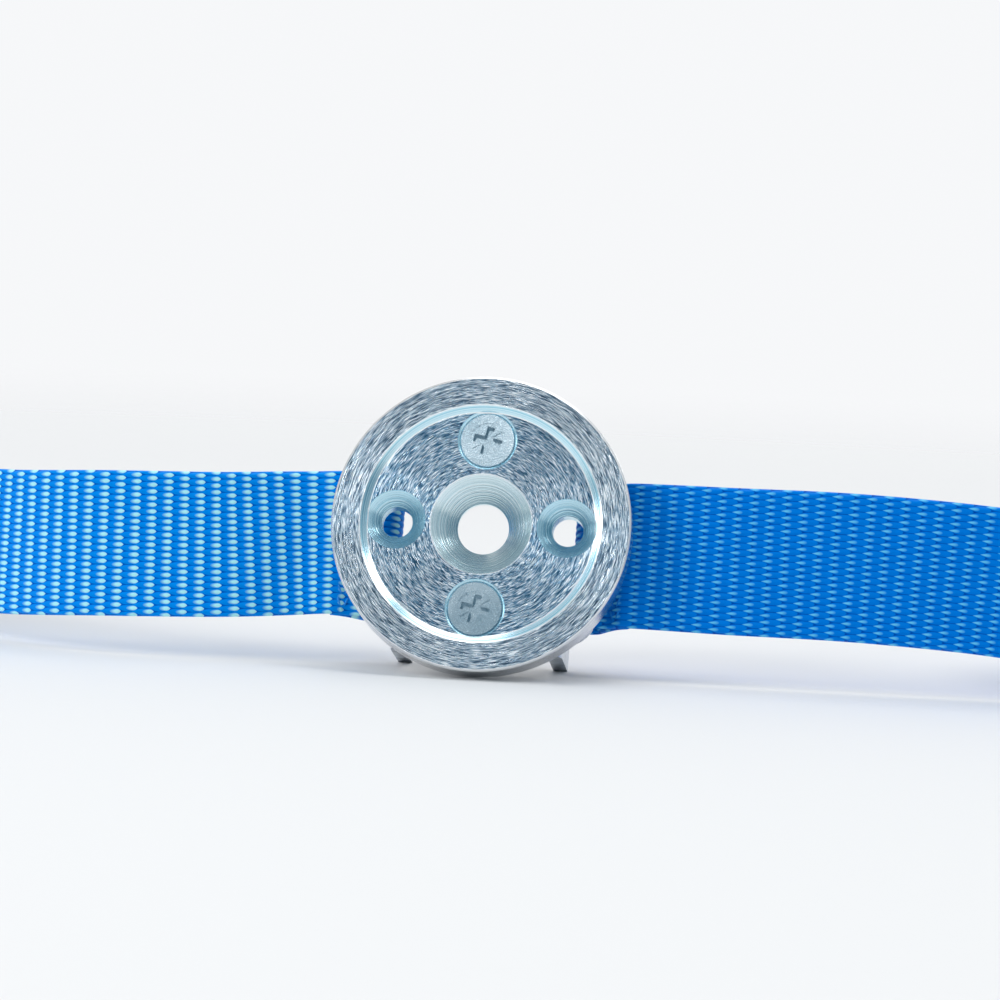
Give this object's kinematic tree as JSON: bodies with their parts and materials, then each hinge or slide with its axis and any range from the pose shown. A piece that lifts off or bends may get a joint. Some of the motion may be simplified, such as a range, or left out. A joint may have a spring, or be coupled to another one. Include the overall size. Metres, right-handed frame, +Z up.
{
  "type": "ratchet tie down",
  "caption": "Strap tie-down on a round countersunk mounting disc: two webbing straps on wire bars behind it, one ending in a ratchet buckle, the other rolled up.",
  "frame": {"origin": "middle of the disc's centre bore, at the disc's back face", "axes": "+Z up as the tie-down stands, -Y the way the disc faces, +X along the straps to the disc's right"},
  "size_m": [0.3662, 0.0733, 0.0493],
  "materials": {
    "turned_steel": "turned and zinc plated, fine circular lines",
    "claw_steel": "zinc plated strip with rolled grain",
    "wire_steel": "zinc plated drawn wire",
    "fastener_zinc": "bright zinc",
    "blue_webbing": "woven polyester webbing, slightly glossy yarn",
    "tie_fabric": "black hook-and-loop tape",
    "grip_plastic": "black moulded grip, lightly grained",
    "spring_wire": "bright spring wire",
    "wheel_steel": "stamped and zinc plated",
    "buckle_steel": "stamped steel, zinc plated"
  },
  "bodies": {
    "disc": {"mounting_disc": "turned_steel", "disc_screw_upper": "fastener_zinc", "disc_screw_lower": "fastener_zinc", "upper_claw": "claw_steel", "lower_claw": "claw_steel", "claw_washer_upper": "fastener_zinc", "claw_washer_lower": "fastener_zinc", "claw_nut_upper": "fastener_zinc", "claw_nut_lower": "fastener_zinc", "strap_bar_left": "wire_steel", "strap_bar_right": "wire_steel", "left_strap": "blue_webbing", "right_strap": "blue_webbing", "right_strap_roll": "blue_webbing", "roll_tie": "tie_fabric"},
    "buckle": {"buckle_frame": "buckle_steel", "fixed_end_bolt": "fastener_zinc", "fixed_end_spacer": "fastener_zinc", "fixed_end_nut": "fastener_zinc", "frame_pawl_spring": "spring_wire"},
    "handle": {"handle_frame": "buckle_steel", "handle_grip": "grip_plastic", "handle_pawl_spring": "spring_wire"},
    "spindle": {"spindle_half_back": "wheel_steel", "spindle_half_front": "wheel_steel", "ratchet_wheel_upper": "wheel_steel", "ratchet_wheel_lower": "wheel_steel", "spindle_washer_upper": "fastener_zinc", "spindle_washer_lower": "fastener_zinc", "cotter_pin_upper": "spring_wire", "cotter_pin_lower": "spring_wire"},
    "locking_pawl": {"frame_pawl": "buckle_steel"},
    "driving_pawl": {"handle_pawl": "buckle_steel"}
  },
  "joints": [
    {"name": "buckle_swing", "type": "hinge", "parent": "disc", "child": "buckle", "pos_m": [-0.138, 0.03, -0.00201], "axis": [0, 0, 1], "range_deg": [0, 35]},
    {"name": "handle_swing", "type": "hinge", "parent": "buckle", "child": "handle", "pos_m": [-0.196, 0.034, -0.00201], "axis": [0, 0, 1], "range_deg": [0, 180]},
    {"name": "spindle_spin", "type": "hinge", "parent": "buckle", "child": "spindle", "pos_m": [-0.196, 0.034, -0.00201], "axis": [0, 0, 1], "continuous": true},
    {"name": "locking_pawl_slide", "type": "slide", "parent": "buckle", "child": "locking_pawl", "axis": [-1, 0, 0], "range_m": [-0.0025, 0.0025], "stiffness_N_per_m": 200, "deforming": ["frame_pawl_spring"]},
    {"name": "driving_pawl_slide", "type": "slide", "parent": "handle", "child": "driving_pawl", "axis": [-1, 0, 0], "range_m": [-0.0025, 0.0025], "stiffness_N_per_m": 200, "deforming": ["handle_pawl_spring"]}
  ]
}
